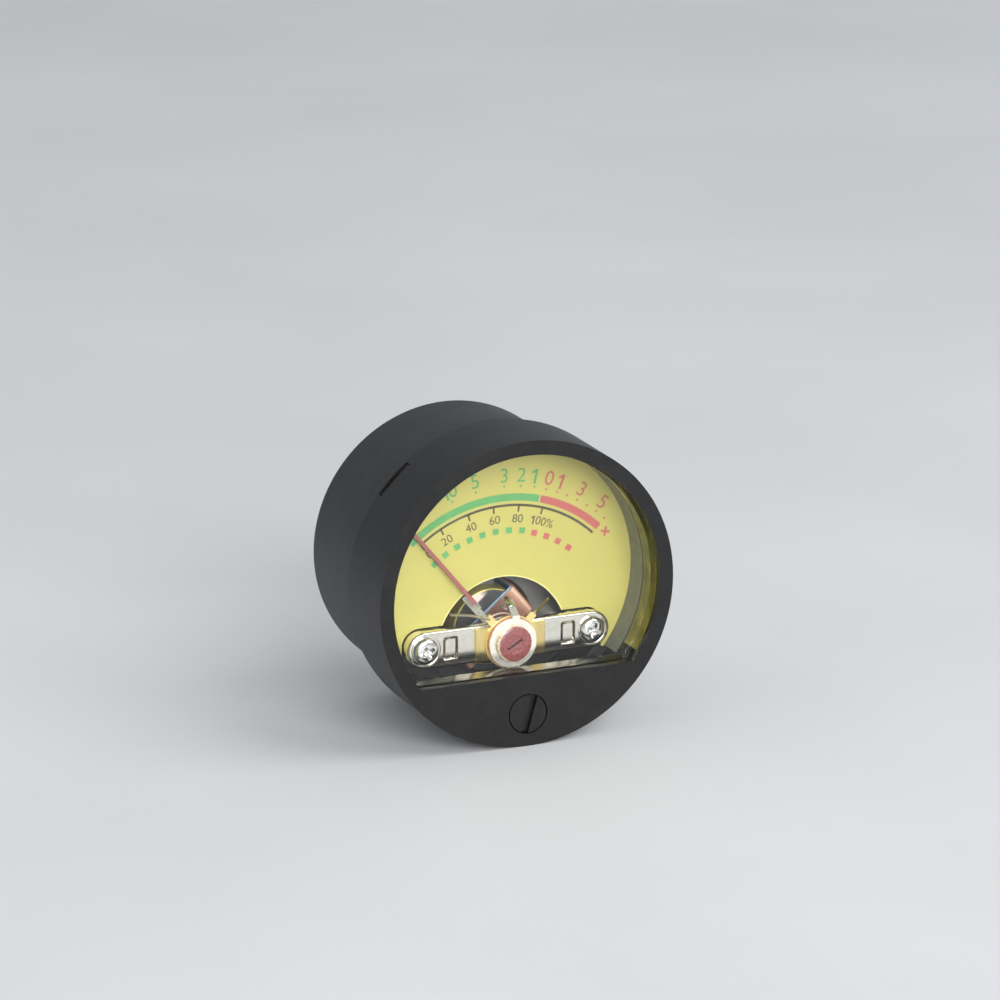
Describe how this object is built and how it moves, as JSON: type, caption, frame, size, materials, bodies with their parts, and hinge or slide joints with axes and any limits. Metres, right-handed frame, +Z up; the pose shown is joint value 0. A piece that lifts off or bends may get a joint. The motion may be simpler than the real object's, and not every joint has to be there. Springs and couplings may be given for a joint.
{
  "type": "analog vu meter",
  "caption": "Round moving-coil level meter with a D-shaped window, a yellow dial, a swinging needle on a pivoted coil and a slotted zero screw.",
  "frame": {"origin": "on the barrel's axis, in the plane of the front of the panel that the barrel stands in, 0.9 mm behind the bezel's face", "axes": "-Y out of the dial towards the reader, +Y towards the terminals, +Z up, +X to the reader's right"},
  "size_m": [0.045, 0.0391, 0.045],
  "materials": {
    "aluminium": "bright",
    "black_moulding": "moulded",
    "black_satin_plastic": "satin, fine texture",
    "board_green": "glass-fibre laminate",
    "brass": "bright",
    "clear_plastic": "clear acrylic, polished",
    "copper": "enamelled copper winding",
    "dark_grey_plastic": "matt",
    "dial_yellow": "matt yellow printed sheet",
    "fibre": "brown fibre",
    "led_yellow": "moulded lens",
    "magnet_alloy": "ground",
    "needle_red": "red-brown lacquer",
    "nickel": "nickel plated",
    "pivot_steel": "hardened and polished",
    "red_lacquer": "red lacquered",
    "ruby": "polished jewel",
    "soft_iron": "turned",
    "spring_bronze": "bright bronze strip",
    "tinned_copper": "tinned",
    "zinc_casting": "cast",
    "zinc_steel": "zinc plated"
  },
  "bodies": {
    "housing": {"backing_plate": "brass", "bezel": "black_satin_plastic", "bridge_posts": "nickel", "bridge_screws": "nickel", "chassis": "dark_grey_plastic", "chassis_screws": "zinc_steel", "clear_cover": "clear_plastic", "core_holders": "zinc_casting", "core_magnet": "magnet_alloy", "dial_plate": "dial_yellow", "fibre_washer": "fibre", "front_bridge": "nickel", "front_jewel": "ruby", "front_jewel_nut": "red_lacquer", "front_jewel_screw": "red_lacquer", "front_lead": "tinned_copper", "lamp_pins": "tinned_copper", "leds": "led_yellow", "light_board": "board_green", "rear_bridge": "nickel", "rear_bridge_screws": "zinc_steel", "rear_case": "black_moulding", "rear_jewel": "ruby", "rear_jewel_screw": "brass", "rear_lead": "tinned_copper", "rear_lock_nut": "brass", "rear_spring_tag": "brass", "solder_tags": "tinned_copper", "stop_arms": "brass", "terminal_nuts": "brass", "terminal_studs": "brass", "terminal_washers": "zinc_steel", "yoke_ring": "soft_iron"},
    "movement": {"coil_former": "aluminium", "coil_winding": "copper", "front_hub": "brass", "front_pivot": "pivot_steel", "rear_hub": "brass", "rear_pivot": "pivot_steel", "pointer_arm": "aluminium", "needle": "needle_red", "balance_tail": "brass", "balance_weight": "brass", "front_hairspring": "spring_bronze", "rear_hairspring": "spring_bronze"},
    "zero_lever_body": {"zero_lever": "nickel"},
    "zero_adjuster": {"zero_screw": "black_satin_plastic", "zero_screw_clip": "pivot_steel"}
  },
  "joints": [
    {"name": "pointer_swing", "type": "hinge", "parent": "housing", "child": "movement", "pos_m": [0, 0, -0.00875], "axis": [0, 1, 0], "range_deg": [-1.5, 88], "stiffness_Nm_per_rad": 0.00004, "deforming": ["front_hairspring", "rear_hairspring"]},
    {"name": "zero_screw_turn", "type": "hinge", "parent": "housing", "child": "zero_adjuster", "pos_m": [0, 0, -0.0177], "axis": [0, 1, 0], "range_deg": [-45, 45]},
    {"name": "zero_lever_turn", "type": "hinge", "parent": "housing", "child": "zero_lever_body", "pos_m": [0, 0, -0.00875], "axis": [0, 1, 0], "range_deg": [-3.6, 3.6]}
  ],
  "couplings": [
    {"joint": "zero_lever_turn", "follows": "zero_screw_turn", "ratio": 0.0756}
  ]
}
